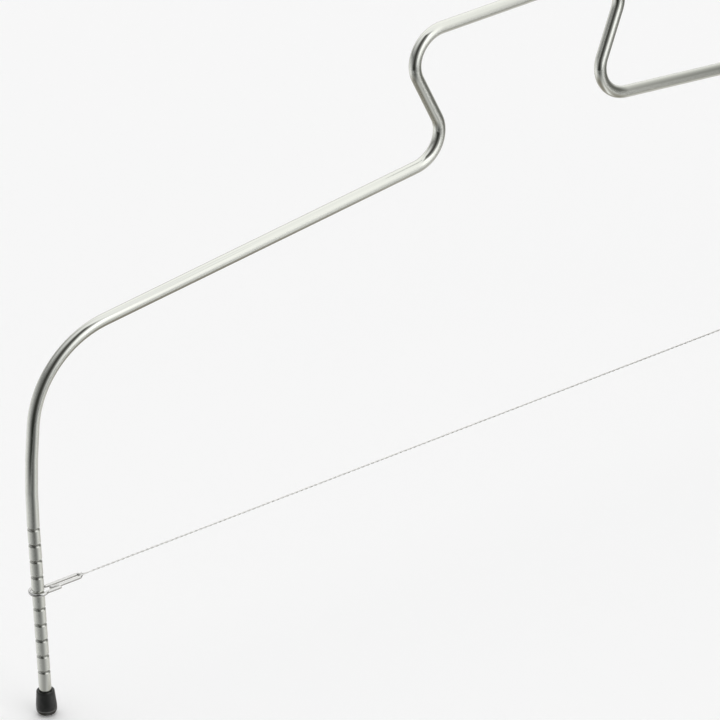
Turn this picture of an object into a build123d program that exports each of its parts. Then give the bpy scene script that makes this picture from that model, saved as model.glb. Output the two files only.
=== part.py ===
from build123d import *
import os
from math import acos, atan2, degrees, hypot, pi, sqrt, tan

# A cake leveler: a polished steel rod bent to an arch with an open handle on top, standing on two
# rubber feet. A fine twisted wire is held taut between its legs by two spring-wire hooks, each in
# one of ten ring grooves that set the height of the cut.
# X runs along the wire, Y across it, Z up. The origin is on the table, halfway between the feet.

os.makedirs("parts", exist_ok=True)

# Rod and the line it is bent along, from the legs up to the bar of the handle. Each point is where
# two straight stretches would meet, and is measured from the one below it: the legs lean in above
# the grooves, turn at the corners into the rails, rise at the throat into the necks, and the necks
# flare out to the bar.
rod_diameter = 3.5
leg_span = 332.0
lean_above_grooves = 16.25
corner_inset = 5.5
corner_rise = 36.3
corner_radius = 28.0
throat_half_width = 23.3
rail_rise = 15.5
throat_radius = 9.5
neck_flare = 16.1
neck_rise = 38.2
grip_radius = 9.5
rod_end_chamfer = 0.3
# Share of the room beside it that the long bend at the lean takes up.
lean_room_share = 0.98

# Ring grooves, evenly spaced up each leg. The wire is shown in the sixth.
groove_count = 10
groove_pitch = 5.0
first_groove_height = 13.75
groove_depth = 0.3
groove_round = 0.55
lower_groove_count = 5

# Rubber foot, round about the leg's axis, stretched over the end of the rod.
foot_height = 7.4
foot_sole = 2.0
foot_lip = 0.75
foot_swell = 1.15
foot_swell_height = 2.9
foot_sole_round = 1.7
foot_swell_round = 4.0
foot_lip_round = 0.3

# Hook, bent from spring wire: a ring round the leg that closes into two arms and a return bend,
# where the cutting wire is held. One end stops in the throat of the ring, the other lies along the
# front arm.
hook_wire = 0.9
ring_clearance = 0.3
ring_pull = 0.2
hook_reach = 13.5
arm_half_gap = 0.95
ring_blend = 1.5
lay_gap = 0.1
lay_length = 4.0
throat_end_gap = 1.55
throat_end_offset = 0.2
throat_end_length = 2.9
throat_bend_radius = 6.0
hook_end_round = 0.2

# Cutting wire: two strands twisted together, drawn here as their outer cylinder. One strand alone
# makes the eye at each end.
strand_diameter = 0.25
eye_clearance = 0.1

# Worked out from the sizes above.
rod_radius = rod_diameter / 2
leg_x = leg_span / 2
hook_radius = hook_wire / 2
ring_radius = rod_radius + ring_clearance + hook_radius
wire_height = first_groove_height + lower_groove_count * groove_pitch
wire_diameter = 2 * strand_diameter
hook_x = leg_x - ring_pull
eye_x = hook_x - hook_reach
eye_radius = hook_radius + eye_clearance + strand_diameter / 2


# The rod: half the line is mirrored, so both legs, rails and necks are alike.
top_groove_height = first_groove_height + (groove_count - 1) * groove_pitch
lean_height = top_groove_height + lean_above_grooves
corner_x = leg_x - corner_inset
corner_height = lean_height + corner_rise
throat_height = corner_height + rail_rise
right_half = [
    (leg_x, foot_sole),
    (leg_x, lean_height),
    (corner_x, corner_height),
    (throat_half_width, throat_height),
    (throat_half_width + neck_flare, throat_height + neck_rise),
]
left_half = [(-x, z) for x, z in right_half]

# The long bend at the lean ends where the corner's bend starts, and stays above the grooves.
lean_turn = atan2(corner_inset, corner_rise)
corner_turn = pi / 2 - lean_turn - atan2(rail_rise, corner_x - throat_half_width)
lean_room = hypot(corner_inset, corner_rise) - corner_radius * tan(corner_turn / 2)
lean_reach = lean_room_share * min(lean_room, lean_above_grooves)
lean_radius = lean_reach / tan(lean_turn / 2)
half_radii = [lean_radius, corner_radius, throat_radius, grip_radius]

with BuildPart() as frame_rod:
    with BuildLine(Plane.XZ) as rod_line:
        FilletPolyline(*left_half, *reversed(right_half), radius=half_radii + half_radii[::-1])
    with BuildSketch(Plane.XY.offset(foot_sole)):
        with Locations((-leg_x, 0)):
            Circle(rod_radius)
    sweep(path=rod_line.wire())
    rod_ends = frame_rod.edges().filter_by(Plane.XY).group_by(Axis.Z)[0]
    chamfer(rod_ends, rod_end_chamfer)
    for side in (-1, 1):
        leg_axis = Axis((side * leg_x, 0, 0), (0, 0, 1))
        for number in range(groove_count):
            groove_height = first_groove_height + number * groove_pitch
            groove_centre = rod_radius - groove_depth + groove_round
            with BuildSketch(Plane.XZ):
                with Locations((side * leg_x + groove_centre, groove_height)):
                    Circle(groove_round)
            revolve(axis=leg_axis, mode=Mode.SUBTRACT)

frame_rod.part.label = "frame_rod"
export_step(frame_rod.part, "parts/frame_rod.step")


def rubber_foot(side, name):
    """A cap with a soft lip at its mouth, a swell low down and a rounded sole."""
    leg_axis = Axis((side * leg_x, 0, 0), (0, 0, 1))
    swell_radius = rod_radius + foot_swell
    lip_radius = rod_radius + foot_lip
    with BuildPart() as foot:
        with BuildSketch(Plane.XZ.shift_origin((side * leg_x, 0, 0))) as section:
            with BuildLine():
                Polyline(
                    (0, 0),
                    (swell_radius, 0),
                    (swell_radius, foot_swell_height),
                    (lip_radius, foot_height),
                    (rod_radius, foot_height),
                    (rod_radius, foot_sole),
                    (0, foot_sole),
                    close=True,
                )
            make_face()
            sole_edge = section.vertices().sort_by_distance((swell_radius, 0))[0]
            fillet(sole_edge, foot_sole_round)
            swell = section.vertices().sort_by_distance((swell_radius, foot_swell_height))[0]
            fillet(swell, foot_swell_round)
            fillet(section.vertices().group_by(Axis.Y)[-1], foot_lip_round)
        revolve(axis=leg_axis)
    foot.part.label = name
    export_step(foot.part, f"parts/{name}.step")
    return foot.part


foot_left = rubber_foot(-1, "foot_left")
foot_right = rubber_foot(1, "foot_right")


def blend_from_ring(offset):
    """Degrees from the ring's far side to where it leaves for an arm at this offset, and how far
    along the arm the blend ends."""
    across = offset + ring_blend
    reach = sqrt((ring_radius + ring_blend) ** 2 - across**2)
    turn = degrees(acos(across / (ring_radius + ring_blend)))
    return turn, reach


def spring_hook(side, name):
    """Follows the wire from its end in the throat, out along the front arm, round the return
    bend, back along the rear arm, round the leg and out along the front arm again."""
    ring_plane = Plane(origin=(side * hook_x, 0, wire_height), x_dir=(-side, 0, 0), z_dir=(0, 0, -side))
    bend_centre = hook_reach - arm_half_gap
    lay_offset = arm_half_gap + hook_wire + lay_gap
    throat_end = rod_radius + throat_end_gap
    rear_turn, rear_reach = blend_from_ring(arm_half_gap)
    front_turn, front_reach = blend_from_ring(lay_offset)
    with BuildPart() as hook:
        with BuildLine(ring_plane) as line:
            FilletPolyline(
                (throat_end, -throat_end_offset),
                (throat_end + throat_end_length, -arm_half_gap),
                (bend_centre, -arm_half_gap),
                radius=throat_bend_radius,
            )
            JernArc((bend_centre, -arm_half_gap), (1, 0), arm_half_gap, 180)
            Line((bend_centre, arm_half_gap), (rear_reach, arm_half_gap))
            rear_blend = JernArc((rear_reach, arm_half_gap), (-1, 0), ring_blend, -rear_turn)
            ring_sweep = 180 + rear_turn + front_turn
            ring = JernArc(rear_blend @ 1, rear_blend % 1, ring_radius, ring_sweep)
            JernArc(ring @ 1, ring % 1, ring_blend, -front_turn)
            Line((front_reach, -lay_offset), (front_reach + lay_length, -lay_offset))
        start = line.wire() @ 0
        with BuildSketch(Plane(origin=start, z_dir=line.wire() % 0)):
            Circle(hook_radius)
        sweep(path=line.wire())
        ends = hook.faces().filter_by(GeomType.PLANE)
        fillet(ends.edges(), hook_end_round)
    hook.part.label = name
    export_step(hook.part, f"parts/{name}.step")
    return hook.part


hook_left = spring_hook(-1, "hook_left")
hook_right = spring_hook(1, "hook_right")

with BuildPart() as cutting_wire:
    with BuildSketch(Plane.YZ.offset(-eye_x + eye_radius)):
        with Locations((0, wire_height)):
            Circle(wire_diameter / 2)
    extrude(amount=2 * (eye_x - eye_radius))
    with Locations((-eye_x, 0, wire_height), (eye_x, 0, wire_height)):
        Torus(eye_radius, strand_diameter / 2, rotation=(90, 0, 0))

cutting_wire.part.label = "cutting_wire"
export_step(cutting_wire.part, "parts/cutting_wire.step")

# The grooves and the chamfers take a little from the straightened rod, so this share is just under 1.
straight_rod_volume = pi * rod_radius**2 * rod_line.wire().length
print("rod length", round(rod_line.wire().length, 1))
print("volume share of the straightened rod", round(frame_rod.part.volume / straight_rod_volume, 4))
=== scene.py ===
import math

import bmesh
import bpy
from mathutils import Matrix, Vector


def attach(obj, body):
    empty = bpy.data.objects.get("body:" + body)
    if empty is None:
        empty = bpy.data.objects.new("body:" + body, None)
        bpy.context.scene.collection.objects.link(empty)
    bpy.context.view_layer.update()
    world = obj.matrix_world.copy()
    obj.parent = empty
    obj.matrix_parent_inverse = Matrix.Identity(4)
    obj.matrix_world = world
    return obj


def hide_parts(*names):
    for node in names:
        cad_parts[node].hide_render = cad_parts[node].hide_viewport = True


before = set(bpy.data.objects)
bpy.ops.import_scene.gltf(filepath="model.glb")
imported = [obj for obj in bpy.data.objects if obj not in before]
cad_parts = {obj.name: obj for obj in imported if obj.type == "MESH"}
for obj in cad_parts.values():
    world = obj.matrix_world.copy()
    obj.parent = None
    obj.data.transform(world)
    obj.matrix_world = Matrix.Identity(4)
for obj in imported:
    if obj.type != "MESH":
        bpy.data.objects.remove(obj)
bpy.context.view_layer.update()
mm = 0.001


# The rod: one length of polished stainless steel, bent cold to two legs, two sloping rails and an
# open handle. Ten ring grooves are turned in each leg before it is bent.
rod_radius = 1.75 * mm
rod_sides = 64
rod_end_bevel = 0.3 * mm
leg_x = 166 * mm
foot_sole = 2 * mm
# Where the straight stretches would meet, from the leg's end to the bar of the handle.
rod_stops = [
    (leg_x, foot_sole),
    (leg_x, 75 * mm),
    (160.5 * mm, 111.3 * mm),
    (23.3 * mm, 126.8 * mm),
    (39.4 * mm, 165 * mm),
]
corner_radius = 28 * mm
handle_radius = 9.5 * mm
lean_room_share = 0.98
stretch_steps = 4
bend_step = math.radians(3)
rim_steps = 3
groove_count = 10
groove_pitch = 5 * mm
first_groove = 13.75 * mm
groove_depth = 0.3 * mm
groove_round = 0.55 * mm
groove_steps = 8
# Rings of points this far apart keep a groove's rim sharp, and it starts with a step this deep.
groove_edge = 0.02 * mm
groove_step = 0.005 * mm
# Points closer than this are one.
same_place = 0.001 * mm


def as_piece(mesh, name, material):
    """A finished bmesh as a smooth object at the origin."""
    bmesh.ops.recalc_face_normals(mesh, faces=mesh.faces)
    for face in mesh.faces:
        face.smooth = True
    data = bpy.data.meshes.new(name)
    mesh.to_mesh(data)
    mesh.free()
    made = bpy.data.objects.new(name, data)
    bpy.context.scene.collection.objects.link(made)
    data.materials.append(material)
    return made


class Drawn:
    """A bar or wire drawn out from a round end, straight, round a bend or in a twist. Each point of
    its skin keeps its place on the straight bar as "straight", and how deep it lies in a groove as
    "sunk", for the material."""

    def __init__(self, start, heading, across, radius, sides, capped=True):
        self.mesh = bmesh.new()
        self.straight = self.mesh.verts.layers.float_vector.new("straight")
        self.sunk = self.mesh.verts.layers.float.new("sunk")
        self.radius = radius
        self.sides = sides
        self.begin(start, heading, across, capped)

    def begin(self, start, heading, across, capped):
        """A new round end to draw on from."""
        self.centre = Vector(start)
        self.heading = Vector(heading).normalized()
        self.drawn = 0
        self.end = bmesh.ops.create_circle(
            self.mesh, cap_ends=capped, segments=self.sides, radius=self.radius
        )["verts"]
        self.ring = list(dict.fromkeys(e for v in self.end for e in v.link_edges))
        across = Vector(across).normalized()
        side = self.heading.cross(across)
        place = Matrix((across, side, self.heading)).transposed().to_4x4()
        place.translation = self.centre
        for v in self.end:
            v[self.straight] = v.co
            v.co = place @ v.co

    def move(self, motion, length):
        """Draws the end on by one stiff motion."""
        made = bmesh.ops.extrude_edge_only(self.mesh, edges=self.ring)["geom"]
        self.end = [v for v in made if isinstance(v, bmesh.types.BMVert)]
        kept = set(self.end)
        self.ring = [e for e in made if isinstance(e, bmesh.types.BMEdge) and kept.issuperset(e.verts)]
        for v in self.end:
            v.co = motion @ v.co
            v[self.straight].z += length
        self.centre = motion @ self.centre
        self.heading = motion.to_3x3() @ self.heading
        self.drawn += length

    def run(self, length, steps=1):
        """A straight length."""
        for _ in range(steps):
            self.move(Matrix.Translation(self.heading * (length / steps)), length / steps)

    def bend(self, radius, angle, axis):
        """A bend of that radius, turned by the right hand about the axis."""
        inwards = Vector(axis).cross(self.heading) * math.copysign(radius, angle)
        pivot = self.centre + inwards
        steps = max(2, math.ceil(abs(angle) / bend_step))
        turn = Matrix.Rotation(angle / steps, 4, axis)
        motion = Matrix.Translation(pivot) @ turn @ Matrix.Translation(-pivot)
        for _ in range(steps):
            self.move(motion, radius * abs(angle) / steps)

    def width(self, radius, sunk):
        """Makes the end thinner or thicker, as a turning tool does."""
        for v in self.end:
            v.co = self.centre + (v.co - self.centre) * (radius / self.radius)
            v[self.sunk] = sunk
        self.radius = radius

    def cap(self):
        """Closes the end."""
        bmesh.ops.holes_fill(self.mesh, edges=self.ring, sides=self.sides)

    def round_rims(self, rounding):
        """Rounds the rims of the caps."""
        caps = [f for f in self.mesh.faces if len(f.verts) == self.sides]
        rims = list(dict.fromkeys(e for f in caps for e in f.edges))
        bmesh.ops.bevel(
            self.mesh, geom=rims, offset=rounding, segments=rim_steps, profile=0.5, affect="EDGES",
            material=-1,
        )

    def copied(self, parts):
        """A copy of those parts of the mesh, as its points."""
        made = bmesh.ops.duplicate(self.mesh, geom=parts)["geom"]
        return [v for v in made if isinstance(v, bmesh.types.BMVert)]

    def parts(self):
        """All that has been drawn so far."""
        return self.mesh.verts[:] + self.mesh.edges[:] + self.mesh.faces[:]


def turn_grooves(bar, before):
    """Draws a leg out with its grooves, from a plain length before the first of them."""
    open_angle = math.acos((groove_round - groove_depth) / groove_round)
    half_width = groove_round * math.sin(open_angle)
    bar.run(before - half_width - 2 * groove_edge)
    for number in range(groove_count):
        bar.run(2 * groove_edge, steps=2)
        bar.width(rod_radius - groove_step, sunk=0)
        reached = -half_width
        for step in range(groove_steps + 1):
            angle = open_angle * (2 * step / groove_steps - 1)
            place = groove_round * math.sin(angle)
            depth = groove_depth - groove_round * (1 - math.cos(angle))
            if step:
                bar.run(place - reached)
                bar.width(rod_radius - max(depth, groove_step), sunk=depth / groove_depth)
            reached = place
        bar.run(groove_edge)
        bar.width(rod_radius, sunk=0)
        bar.run(groove_edge)
        if number < groove_count - 1:
            bar.run(groove_pitch - 2 * half_width - 4 * groove_edge, steps=2)


def noise(tree, where, scale, detail, roughness=0.5, distortion=0.0):
    """Cloudy shading from 0 to 1. Its scale may be a number or a socket."""
    made = tree.nodes.new("ShaderNodeTexNoise")
    made.inputs["Detail"].default_value = detail
    made.inputs["Roughness"].default_value = roughness
    made.inputs["Distortion"].default_value = distortion
    if isinstance(scale, float):
        made.inputs["Scale"].default_value = scale
    else:
        tree.links.new(scale, made.inputs["Scale"])
    tree.links.new(where, made.inputs["Vector"])
    return made.outputs["Fac"]


def mask(tree, source, empty, full):
    """0 where the source is at empty, 1 where it is at full, and smooth between them."""
    made = tree.nodes.new("ShaderNodeMapRange")
    made.interpolation_type = "SMOOTHSTEP"
    made.inputs["From Min"].default_value = empty
    made.inputs["From Max"].default_value = full
    tree.links.new(source, made.inputs["Value"])
    return made.outputs["Result"]


def spread(tree, source, low, high):
    """A mask from 0 to 1 spread between two values."""
    made = tree.nodes.new("ShaderNodeMapRange")
    made.inputs["To Min"].default_value = low
    made.inputs["To Max"].default_value = high
    tree.links.new(source, made.inputs["Value"])
    return made.outputs["Result"]


def joined(tree, operation, first, second):
    """Two values made one by that operation. The second may be a number or a socket."""
    made = tree.nodes.new("ShaderNodeMath")
    made.operation = operation
    tree.links.new(first, made.inputs[0])
    if isinstance(second, float):
        made.inputs[1].default_value = second
    else:
        tree.links.new(second, made.inputs[1])
    return made.outputs["Value"]


def tinted(tree, share, under, over):
    """A colour that goes from under to over with the share. Under may be a colour or a socket."""
    made = tree.nodes.new("ShaderNodeMix")
    made.data_type = "RGBA"
    tree.links.new(share, made.inputs["Factor"])
    if isinstance(under, tuple):
        made.inputs["A"].default_value = (*under, 1)
    else:
        tree.links.new(under, made.inputs["A"])
    made.inputs["B"].default_value = (*over, 1)
    return made.outputs["Result"]


def kept_on_mesh(tree, name):
    """What the mesh keeps under that name, to be read as a value or a vector."""
    made = tree.nodes.new("ShaderNodeAttribute")
    made.attribute_name = name
    return made.outputs


def bumped(tree, height, strength, distance):
    """Gives the material's surface a fine relief, which a height of 1 lifts by the distance."""
    made = tree.nodes.new("ShaderNodeBump")
    made.inputs["Strength"].default_value = strength
    made.inputs["Distance"].default_value = distance
    tree.links.new(height, made.inputs["Height"])
    tree.links.new(made.outputs["Normal"], tree.nodes["Principled BSDF"].inputs["Normal"])


def new_group(name, inputs, outputs):
    """An empty shader group that takes a Place and named numbers and gives named masks, with the
    sockets inside it."""
    group = bpy.data.node_groups.new(name, "ShaderNodeTree")
    group.interface.new_socket(name="Place", in_out="INPUT", socket_type="NodeSocketVector")
    for socket, value in inputs.items():
        made = group.interface.new_socket(name=socket, in_out="INPUT", socket_type="NodeSocketFloat")
        made.default_value = value
    for socket in outputs:
        group.interface.new_socket(name=socket, in_out="OUTPUT", socket_type="NodeSocketFloat")
    given = group.nodes.new("NodeGroupInput").outputs
    wanted = group.nodes.new("NodeGroupOutput").inputs
    return group, given, wanted


def drawing_lines_group():
    """Fine lines that the drawing die leaves along a rod or wire, with a few deeper ones. Fineness
    counts them across the rod and Length along it, to a metre."""
    counts = {"Fineness": 9000.0, "Length": 90.0}
    group, given, wanted = new_group("drawing_lines", counts, ["Lines", "Scores"])
    stretch = group.nodes.new("ShaderNodeCombineXYZ")
    group.links.new(given["Fineness"], stretch.inputs["X"])
    group.links.new(given["Fineness"], stretch.inputs["Y"])
    group.links.new(given["Length"], stretch.inputs["Z"])
    placed = group.nodes.new("ShaderNodeVectorMath")
    placed.operation = "MULTIPLY"
    group.links.new(given["Place"], placed.inputs[0])
    group.links.new(stretch.outputs["Vector"], placed.inputs[1])
    where = placed.outputs["Vector"]
    group.links.new(noise(group, where, scale=1.0, detail=3.0, roughness=0.65), wanted["Lines"])
    coarse = noise(group, where, scale=0.31, detail=1.0)
    group.links.new(mask(group, coarse, empty=0.62, full=0.70), wanted["Scores"])
    return group


def handling_group():
    """Faint smears and small rubs that a tool gathers in use. Size counts the smears to a metre."""
    rubs_a_smear = 9.0
    group, given, wanted = new_group("handling_marks", {"Size": 160.0}, ["Smears", "Rubs"])
    cloud = noise(group, given["Place"], given["Size"], detail=4.0, distortion=0.6)
    group.links.new(mask(group, cloud, empty=0.45, full=0.72), wanted["Smears"])
    closer = joined(group, "MULTIPLY", given["Size"], rubs_a_smear)
    specks = noise(group, given["Place"], closer, detail=5.0)
    group.links.new(mask(group, specks, empty=0.60, full=0.74), wanted["Rubs"])
    return group


def placed_group(tree, group, where):
    """A shader group set into a material, with the place that it reads."""
    made = tree.nodes.new("ShaderNodeGroup")
    made.node_tree = group
    tree.links.new(where, made.inputs["Place"])
    return made


drawing_lines = drawing_lines_group()
handling_marks = handling_group()


def drawn_metal(name, colour, dull, grime_and_shade, shine, worn, line_height):
    """Drawn wire or rod: its colour goes to dull in the lines and, in the grooves, to grime and painted
    shade.
    Shine and worn are its roughness where it is smooth and where it is rubbed."""
    line_share, score_share = 0.7, 0.35
    least_grime_and_shade, most_grime_and_shade = 0.5, 0.95
    smear_roughness, rub_roughness, groove_roughness = 0.07, 0.08, 0.3
    material = bpy.data.materials.new(name)
    material.use_nodes = True
    tree = material.node_tree
    shader = tree.nodes["Principled BSDF"].inputs
    shader["Metallic"].default_value = 1
    straight = kept_on_mesh(tree, "straight")["Vector"]
    sunk = kept_on_mesh(tree, "sunk")["Fac"]
    lines = placed_group(tree, drawing_lines, straight).outputs
    marks = placed_group(tree, handling_marks, straight).outputs
    metal = tinted(tree, spread(tree, lines["Lines"], 0, line_share), colour, dull)
    metal = tinted(tree, spread(tree, lines["Scores"], 0, score_share), metal, dull)
    # Grime and painted shade darken each groove towards its bottom, patchy along the rod.
    patchy = spread(tree, marks["Smears"], least_grime_and_shade, most_grime_and_shade)
    metal = tinted(tree, joined(tree, "MULTIPLY", sunk, patchy), metal, grime_and_shade)
    tree.links.new(metal, shader["Base Color"])
    rough = spread(tree, lines["Lines"], shine, worn)
    rough = joined(tree, "ADD", rough, spread(tree, marks["Smears"], 0, smear_roughness))
    rough = joined(tree, "ADD", rough, spread(tree, marks["Rubs"], 0, rub_roughness))
    rough = joined(tree, "ADD", rough, spread(tree, sunk, 0, groove_roughness))
    tree.links.new(rough, shader["Roughness"])
    height = joined(tree, "SUBTRACT", lines["Lines"], lines["Scores"])
    bumped(tree, height, strength=0.35, distance=line_height)
    return material


# The rod's grooves are darkened with grime and painted shade.
rod_steel = drawn_metal(
    "polished_rod_steel", colour=(0.875, 0.89, 0.84), dull=(0.745, 0.755, 0.7),
    grime_and_shade=(0.2, 0.205, 0.19), shine=0.025, worn=0.075, line_height=0.0012 * mm,
)

# The left half is drawn, from the leg's end to the middle of the handle, and copied to the right.
# The long bend at the lean ends where the corner's bend starts, and stays above the grooves.
points = [Vector((-x, 0, z)) for x, z in rod_stops]
points.append(Vector((0, 0, points[-1].z)))
leans = [(b - a).normalized() for a, b in zip(points, points[1:])]
turns = [a.angle(b) for a, b in zip(leans, leans[1:])]
lean_above = points[1].z - first_groove - (groove_count - 1) * groove_pitch
lean_room = (points[2] - points[1]).length - corner_radius * math.tan(turns[1] / 2)
lean_radius = lean_room_share * min(lean_room, lean_above) / math.tan(turns[0] / 2)
radii = [lean_radius, corner_radius, handle_radius, handle_radius]
cuts = [r * math.tan(t / 2) for r, t in zip(radii, turns)] + [0]

rod = Drawn(points[0], leans[0], (0, 1, 0), rod_radius, rod_sides)
turn_grooves(rod, first_groove - foot_sole)
rod.run(points[1].z - cuts[0] - rod.centre.z)
for number, (radius, turn) in enumerate(zip(radii, turns)):
    rod.bend(radius, turn, leans[number].cross(leans[number + 1]).normalized())
    rod.run((points[number + 2] - rod.centre).length - cuts[number + 1], stretch_steps)
other_half = rod.copied(rod.parts())
bmesh.ops.scale(rod.mesh, vec=(-1, 1, 1), verts=other_half)
for v in other_half:
    v[rod.straight].z = 2 * rod.drawn - v[rod.straight].z
bmesh.ops.remove_doubles(rod.mesh, verts=rod.mesh.verts, dist=same_place)
rod.round_rims(rod_end_bevel)
polished_rod = as_piece(rod.mesh, "polished_rod", rod_steel)
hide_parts("frame_rod")
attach(polished_rod, "frame")


# The feet: black moulded rubber caps pushed over the ends of the rod, with a soft lip at the mouth,
# a swell low down, a fine line where the mould closed, painted lighter as a highlight, and a rounded
# sole.
foot_height = 7.4 * mm
foot_lip = 0.75 * mm
foot_swell = 1.15 * mm
swell_height = 2.9 * mm
sole_round = 1.7 * mm
swell_round = 4 * mm
lip_round = 0.3 * mm
foot_sides = 96
foot_round_steps = 10


def foot_section():
    """The cap's section, from the middle of the sole outwards, up and down into the mouth."""
    section = bmesh.new()
    corners = [
        (0, 0, 0),
        (rod_radius + foot_swell, 0, sole_round),
        (rod_radius + foot_swell, swell_height, swell_round),
        (rod_radius + foot_lip, foot_height, lip_round),
        (rod_radius, foot_height, lip_round),
        (rod_radius, foot_sole, 0),
        (0, foot_sole, 0),
    ]
    chain = [section.verts.new((x, 0, z)) for x, z, _ in corners]
    for inner, outer in zip(chain, chain[1:]):
        section.edges.new((inner, outer))
    for number, (x, z, rounding) in enumerate(corners):
        if rounding:
            here = Vector((x, z))
            before = Vector(corners[number - 1][:2]) - here
            after = Vector(corners[number + 1][:2]) - here
            bmesh.ops.bevel(
                section, geom=[chain[number]], offset=rounding / math.tan(before.angle(after) / 2),
                segments=foot_round_steps, profile=0.5, affect="VERTICES", material=-1,
            )
    return section


def rubber():
    """Satin black rubber with a fine moulded grain, a little dust and the line of the mould, with a
    painted highlight along it.
    """
    black, dust, mould_line_highlight = (0.007, 0.008, 0.0075), (0.12, 0.12, 0.115), (0.19, 0.19, 0.185)
    grain_fineness, grain_relief, smear_size = 9000.0, 0.25, 420.0
    line_height, line_reach, line_share = 1.75 * mm, 0.2 * mm, 0.8
    smear_dust, floor_dust, floor_dust_height = 0.07, 0.06, 2.2 * mm
    smooth, rough, rub_roughness = 0.24, 0.42, 0.12
    material = bpy.data.materials.new("moulded_rubber")
    material.use_nodes = True
    tree = material.node_tree
    shader = tree.nodes["Principled BSDF"].inputs
    shader["Specular IOR Level"].default_value = 0.6
    where = tree.nodes.new("ShaderNodeTexCoord").outputs["Object"]
    grain = noise(tree, where, grain_fineness, detail=3.0)
    marks = placed_group(tree, handling_marks, where)
    marks.inputs["Size"].default_value = smear_size
    smears = spread(tree, marks.outputs["Smears"], 0, smear_dust)
    rubs = spread(tree, marks.outputs["Rubs"], 0, rub_roughness)
    parted = tree.nodes.new("ShaderNodeSeparateXYZ")
    tree.links.new(where, parted.inputs["Vector"])
    height = parted.outputs["Z"]
    low = mask(tree, height, empty=floor_dust_height, full=0)
    off_line = tree.nodes.new("ShaderNodeMath")
    off_line.operation = "ABSOLUTE"
    tree.links.new(joined(tree, "SUBTRACT", height, line_height), off_line.inputs[0])
    line = mask(tree, off_line.outputs["Value"], empty=line_reach, full=0)
    dusty = joined(tree, "ADD", smears, spread(tree, low, 0, floor_dust))
    skin = tinted(tree, dusty, black, dust)
    # The mould line is raised by the bump, and its lighter colour is a painted highlight along that
    # ridge.
    skin = tinted(tree, spread(tree, line, 0, line_share), skin, mould_line_highlight)
    tree.links.new(skin, shader["Base Color"])
    satin = joined(tree, "ADD", spread(tree, grain, smooth, rough), rubs)
    tree.links.new(satin, shader["Roughness"])
    relief = joined(tree, "ADD", spread(tree, grain, 0, grain_relief), line)
    bumped(tree, relief, strength=0.6, distance=0.04 * mm)
    return material


moulded_rubber = rubber()
for side, name in ((-1, "left"), (1, "right")):
    cap = foot_section()
    bmesh.ops.spin(
        cap, geom=cap.verts[:] + cap.edges[:], cent=(0, 0, 0), axis=(0, 0, 1), angle=math.tau,
        steps=foot_sides, use_merge=True,
    )
    bmesh.ops.remove_doubles(cap, verts=cap.verts, dist=same_place)
    bmesh.ops.translate(cap, vec=(side * leg_x, 0, 0), verts=cap.verts)
    foot = as_piece(cap, "rubber_foot_" + name, moulded_rubber)
    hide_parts("foot_" + name)
    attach(foot, "frame")


# The hooks: spring wire bent to a ring round the leg that closes into two arms and a return bend.
# One end stops in the throat, the other lies along the front arm. Each is slipped on before the feet.
hook_radius = 0.45 * mm
ring_clearance = 0.3 * mm
ring_radius = rod_radius + ring_clearance + hook_radius
ring_pull = 0.2 * mm
hook_reach = 13.5 * mm
arm_half_gap = 0.95 * mm
ring_blend = 1.5 * mm
lay_gap = 0.1 * mm
lay_offset = arm_half_gap + 2 * hook_radius + lay_gap
lay_length = 4 * mm
throat_end_gap = 1.55 * mm
throat_end = rod_radius + throat_end_gap
throat_end_offset = 0.2 * mm
throat_end_length = 2.9 * mm
throat_bend_radius = 6 * mm
hook_end_round = 0.2 * mm
hook_sides = 36
lower_groove_count = 5
wire_height = first_groove + lower_groove_count * groove_pitch
hook_x = leg_x - ring_pull
upright = Vector((0, 0, 1))


def blend_from_ring(radius, blend, offset):
    """How far a ring turns on before it leaves for a straight at this offset, and where along the
    straight that blend ends."""
    across = offset + blend
    return math.acos(across / (radius + blend)), math.sqrt((radius + blend) ** 2 - across**2)


def bent_hook():
    """The left hook, followed from its end in the throat to the end along the front arm."""
    bend_centre = hook_reach - arm_half_gap
    rise = Vector((throat_end_length, throat_end_offset - arm_half_gap, 0))
    turn = math.atan2(arm_half_gap - throat_end_offset, throat_end_length)
    cut = throat_bend_radius * math.tan(turn / 2)
    rear_turn, rear_reach = blend_from_ring(ring_radius, ring_blend, arm_half_gap)
    front_turn, _ = blend_from_ring(ring_radius, ring_blend, lay_offset)
    start = Vector((throat_end - hook_x, -throat_end_offset, wire_height))
    wire = Drawn(start, rise, upright, hook_radius, hook_sides)
    wire.run(rise.length - cut, stretch_steps)
    wire.bend(throat_bend_radius, turn, upright)
    wire.run(bend_centre - throat_end - throat_end_length - cut, stretch_steps)
    wire.bend(arm_half_gap, math.pi, upright)
    wire.run(bend_centre - rear_reach, stretch_steps)
    wire.bend(ring_blend, -rear_turn, upright)
    wire.bend(ring_radius, math.pi + rear_turn + front_turn, upright)
    wire.bend(ring_blend, -front_turn, upright)
    wire.run(lay_length, stretch_steps)
    wire.cap()
    wire.round_rims(hook_end_round)
    return wire.mesh


spring_steel = drawn_metal(
    "spring_wire_steel", colour=(0.83, 0.83, 0.82), dull=(0.66, 0.66, 0.65), grime_and_shade=(0.2, 0.2, 0.2),
    shine=0.12, worn=0.24, line_height=0.001 * mm,
)
for side, name in ((-1, "left"), (1, "right")):
    bent = bent_hook()
    if side > 0:
        bmesh.ops.scale(bent, vec=(-1, 1, 1), verts=bent.verts)
    hook = as_piece(bent, "spring_hook_" + name, spring_steel)
    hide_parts("hook_" + name)
    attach(hook, name + "_hook")


# The cutting wire: one fine steel wire, doubled and twisted. Its two folds are the eyes round the
# hooks' return bends, and its ends are wrapped round the pair next to the right eye.
strand_radius = 0.125 * mm
strand_sides = 12
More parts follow.
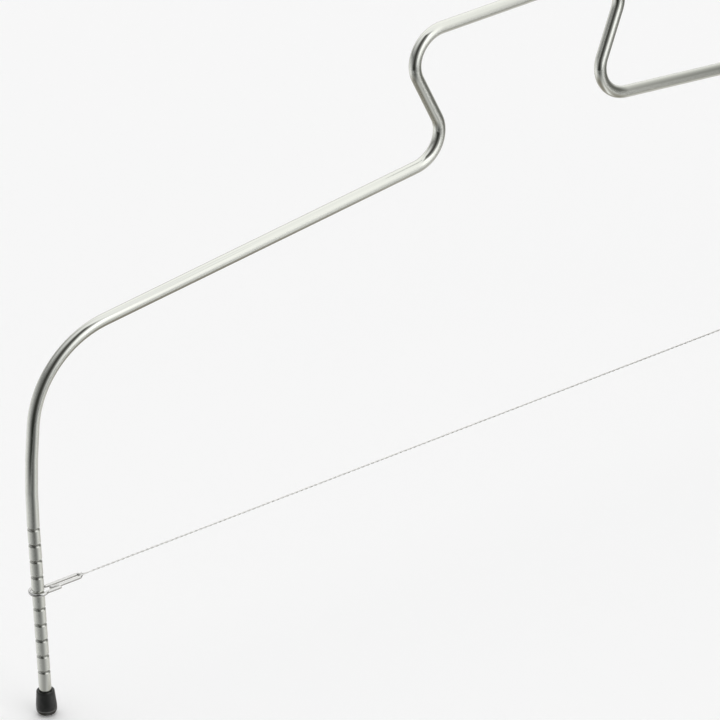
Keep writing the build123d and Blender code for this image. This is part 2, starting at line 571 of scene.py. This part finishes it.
# Each strand is drawn this much too thin, so that the two don't share points where they touch.
strand_gap = 0.002 * mm
strand_end_round = 0.03 * mm
eye_clearance = 0.1 * mm
eye_radius = hook_radius + eye_clearance + strand_radius
eye_blend = 1.2 * mm
eye_x = hook_x - hook_reach
eye_turn, eye_reach = blend_from_ring(eye_radius, eye_blend, strand_radius)
fold_x = eye_x - eye_reach
link_count = 23
twists_a_link = 4
steps_a_twist = 16
easing_steps = 16
link_steps = twists_a_link * steps_a_twist
advance = 2 * fold_x / (link_count * link_steps + 2 * easing_steps)
even_twist_x = link_count * link_steps * advance / 2
strand_step = math.tau / steps_a_twist
wrap_turns = 5
wrap_pitch = 0.262 * mm
wrap_from_eye = 3.4 * mm
wrap_radius = 3 * strand_radius
wire_line = Vector((0, 0, wire_height))
across_wire = Vector((0, 1, 0))


def wrap_on(strand, lead, share=1):
    """One step round the wire's line and along it, by the full angle or a share of it."""
    about = Matrix.Rotation(math.copysign(share * strand_step, lead), 4, "X")
    turned = Matrix.Translation(wire_line) @ about @ Matrix.Translation(-wire_line)
    strand.move(Matrix.Translation((lead, 0, 0)) @ turned, math.hypot(lead, strand_radius * strand_step))


def fold(strand):
    """Leaves the pair, rounds the hook and comes back beside itself."""
    strand.bend(eye_blend, -eye_turn, across_wire)
    strand.bend(eye_radius, math.pi + 2 * eye_turn, across_wire)
    strand.bend(eye_blend, -eye_turn, across_wire)


# The left eye is drawn first, from where the even twist ends and back to it. Its twist eases in over
# half a turn. A link of four twists comes next, then its copies, and the whole turned end for end.
easing = [(number + 1) / (easing_steps + 1) for number in range(easing_steps)]
strand_start = Vector((even_twist_x, 0, wire_height + strand_radius))
eye_start = strand_start - Vector((2 * even_twist_x, 0, 0))
strand = Drawn(eye_start, (-1, 0, 0), upright, strand_radius - strand_gap, strand_sides, capped=False)
for share in reversed(easing):
    wrap_on(strand, -advance, share)
fold(strand)
for share in easing:
    wrap_on(strand, advance, share)
left_eye = strand.mesh.verts[:]
eye_parts = set(strand.parts())
strand.begin(strand_start, (-1, 0, 0), upright, capped=False)
for _ in range(link_steps):
    wrap_on(strand, -advance)
link = [part for part in strand.parts() if part not in eye_parts]
for number in range(1, link_count):
    next_link = strand.copied(link)
    bmesh.ops.translate(strand.mesh, vec=(-number * link_steps * advance, 0, 0), verts=next_link)
    for v in next_link:
        v[strand.straight].z += number * strand.drawn
for v in left_eye:
    v[strand.straight].z += link_count * strand.drawn
other_strand = strand.copied(strand.parts())
bmesh.ops.rotate(
    strand.mesh, cent=wire_line, matrix=Matrix.Rotation(math.pi, 3, "Y"), verts=other_strand
)
bmesh.ops.remove_doubles(strand.mesh, verts=strand.mesh.verts, dist=strand_gap / 2)

wrap_start = Vector((eye_x - wrap_from_eye, 0, wire_height + wrap_radius))
wrap = Drawn(wrap_start, (0, -1, 0), upright, strand_radius, strand_sides)
for _ in range(wrap_turns * steps_a_twist):
    wrap_on(wrap, wrap_pitch / steps_a_twist)
wrap.cap()
wrap.round_rims(strand_end_round)
strand_steel = drawn_metal(
    "fine_strand_steel", colour=(0.95, 0.95, 0.93), dull=(0.87, 0.87, 0.85), grime_and_shade=(0.4, 0.4, 0.4),
    shine=0.20, worn=0.32, line_height=0.0006 * mm,
)
wrapped = as_piece(wrap.mesh, "wrapped_ends", strand_steel)
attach(wrapped, "wire")
twisted_wire = as_piece(strand.mesh, "twisted_wire", strand_steel)
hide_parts("cutting_wire")
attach(twisted_wire, "wire")


# The studio: a pale floor in a pale room, two wide soft lamps, and cards out of sight, dark and
# pale, for the rod to reflect. The floor stays out of the reflections, so the cards reach below it.
floor_reach = 60
floor_colour = (0.95, 0.95, 0.95, 1)
floor_roughness = 0.9
floor_mesh = bmesh.new()
bmesh.ops.create_grid(floor_mesh, x_segments=1, y_segments=1, size=floor_reach)
floor_paint = bpy.data.materials.new("pale_floor")
floor_paint.use_nodes = True
floor_shader = floor_paint.node_tree.nodes["Principled BSDF"].inputs
floor_shader["Base Color"].default_value = floor_colour
floor_shader["Roughness"].default_value = floor_roughness
floor_shader["Specular IOR Level"].default_value = 0
floor = as_piece(floor_mesh, "floor", floor_paint)
floor.visible_glossy = False

# The room gives this much light, and looks as bright as the floor does.
room_light = 0.65
room_look = 0.935
world = bpy.data.worlds.new("pale_room")
world.use_nodes = True
room = world.node_tree
ray = room.nodes.new("ShaderNodeLightPath").outputs
looked_at = joined(room, "ADD", ray["Is Camera Ray"], ray["Is Glossy Ray"])
looked_at = joined(room, "ADD", looked_at, ray["Is Transmission Ray"])
background = room.nodes["Background"].inputs
background["Color"].default_value = (1, 1, 1, 1)
room.links.new(spread(room, looked_at, room_light, room_look), background["Strength"])
bpy.context.scene.world = world

card_steps = 60


def towards(turn, rise=0.0):
    """The direction at that turn, in degrees clockwise from +Y seen from above, lifted by rise."""
    turn, rise = math.radians(turn), math.radians(rise)
    return Vector((math.sin(turn) * math.cos(rise), math.cos(turn) * math.cos(rise), math.sin(rise)))


def veil_share(off, reach, soft):
    """1 well inside the reach, 0 well outside and smooth over the soft edge between them."""
    share = min(1, max(0, (reach + soft / 2 - abs(off)) / soft))
    return share * share * (3 - 2 * share)


def card(name, distance, colour, middle, reach, soft):
    """A card curved round the tool at that distance in metres, seen by reflections alone. Its
    middle, the reach to either side and the width of its soft edges are each a turn and a rise in
    degrees."""
    mesh = bmesh.new()
    veil = mesh.verts.layers.float.new("veil")
    bmesh.ops.create_grid(mesh, x_segments=card_steps, y_segments=card_steps, size=1)
    for v in mesh.verts:
        turn = v.co.x * min(180, reach[0] + soft[0] / 2)
        rise = min(90, max(-90, middle[1] + v.co.y * (reach[1] + soft[1] / 2)))
        v[veil] = veil_share(turn, reach[0], soft[0]) * veil_share(rise - middle[1], reach[1], soft[1])
        v.co = towards(middle[0] + turn, rise) * distance
    paint = bpy.data.materials.new(name)
    paint.use_nodes = True
    tree = paint.node_tree
    tree.nodes.remove(tree.nodes["Principled BSDF"])
    glow = tree.nodes.new("ShaderNodeEmission")
    glow.inputs["Color"].default_value = (*colour, 1)
    clear = tree.nodes.new("ShaderNodeBsdfTransparent")
    mixed = tree.nodes.new("ShaderNodeMixShader")
    tree.links.new(kept_on_mesh(tree, "veil")["Fac"], mixed.inputs["Fac"])
    tree.links.new(clear.outputs["BSDF"], mixed.inputs[1])
    tree.links.new(glow.outputs["Emission"], mixed.inputs[2])
    tree.links.new(mixed.outputs["Shader"], tree.nodes["Material Output"].inputs["Surface"])
    made = as_piece(mesh, name, paint)
    made.visible_camera = False
    made.visible_diffuse = False
    made.visible_shadow = False
    made.visible_transmission = False


card("table_top", 1.6, (0.27, 0.255, 0.22), (16, -59), (158, 23), (74, 27))
card("window", 1.5, (1.57, 1.57, 1.57), (178, 15), (17, 32), (6, 6))
card("dark_doorway", 0.52, (0.06, 0.06, 0.055), (-124, 31), (32, 41), (56, 6))
card("dark_shelf", 0.4, (0.02, 0.02, 0.018), (-34, 30), (74, 10), (51, 73))
card("pale_wall", 0.39, (1.05, 1.05, 1.03), (81, 53), (104, 29), (9, 75))
card("dark_side", 0.32, (0.006, 0.01, 0.006), (-134, -7), (50, 20), (100, 66))
card("pale_side", 0.29, (0.62, 0.61, 0.59), (54, -15), (70, 34), (83, 16))
card("grey_side", 0.28, (0.14, 0.14, 0.13), (107, 22), (36, 39), (64, 50))


def lamp(name, turn, rise, width, strength):
    """A wide soft lamp, far enough away to light the whole floor alike. Its width is in degrees."""
    data = bpy.data.lights.new(name, "SUN")
    data.angle = math.radians(width)
    data.energy = strength
    made = bpy.data.objects.new(name, data)
    bpy.context.scene.collection.objects.link(made)
    made.rotation_euler = (-towards(turn, rise)).to_track_quat("-Z", "Y").to_euler()
    made.visible_camera = False
    made.visible_glossy = False


lamp("key_lamp", turn=166, rise=24, width=49, strength=0.61)
lamp("back_lamp", turn=30, rise=62, width=61, strength=0.9)

# The camera: how far it is turned, tilted and rolled, in degrees, and where the tool's origin lies
# from it. The length of its lens is given in pixels of the picture, which is this many wide.
camera_turn = 33.484
camera_tilt = 28.894
camera_roll = 2.865
origin_right = 50.186 * mm
origin_down = 45.672 * mm
origin_ahead = 2279.364 * mm
picture_pixels = 720
focal_pixels = 8013.203
sensor_width = 36
farthest_seen = 100
ahead = towards(camera_turn, -camera_tilt)
level_right = towards(camera_turn + 90)
level_down = ahead.cross(level_right)
roll = math.radians(camera_roll)
right = level_right * math.cos(roll) + level_down * math.sin(roll)
down = level_down * math.cos(roll) - level_right * math.sin(roll)
camera_data = bpy.data.cameras.new("camera")
camera_data.sensor_width = sensor_width
camera_data.lens = focal_pixels / picture_pixels * sensor_width
camera_data.clip_end = farthest_seen
camera = bpy.data.objects.new("camera", camera_data)
bpy.context.scene.collection.objects.link(camera)
camera_place = Matrix((right, -down, -ahead)).transposed().to_4x4()
camera_place.translation = -(right * origin_right + down * origin_down + ahead * origin_ahead)
camera.matrix_world = camera_place
bpy.context.scene.camera = camera
bpy.context.scene.view_settings.view_transform = "Standard"
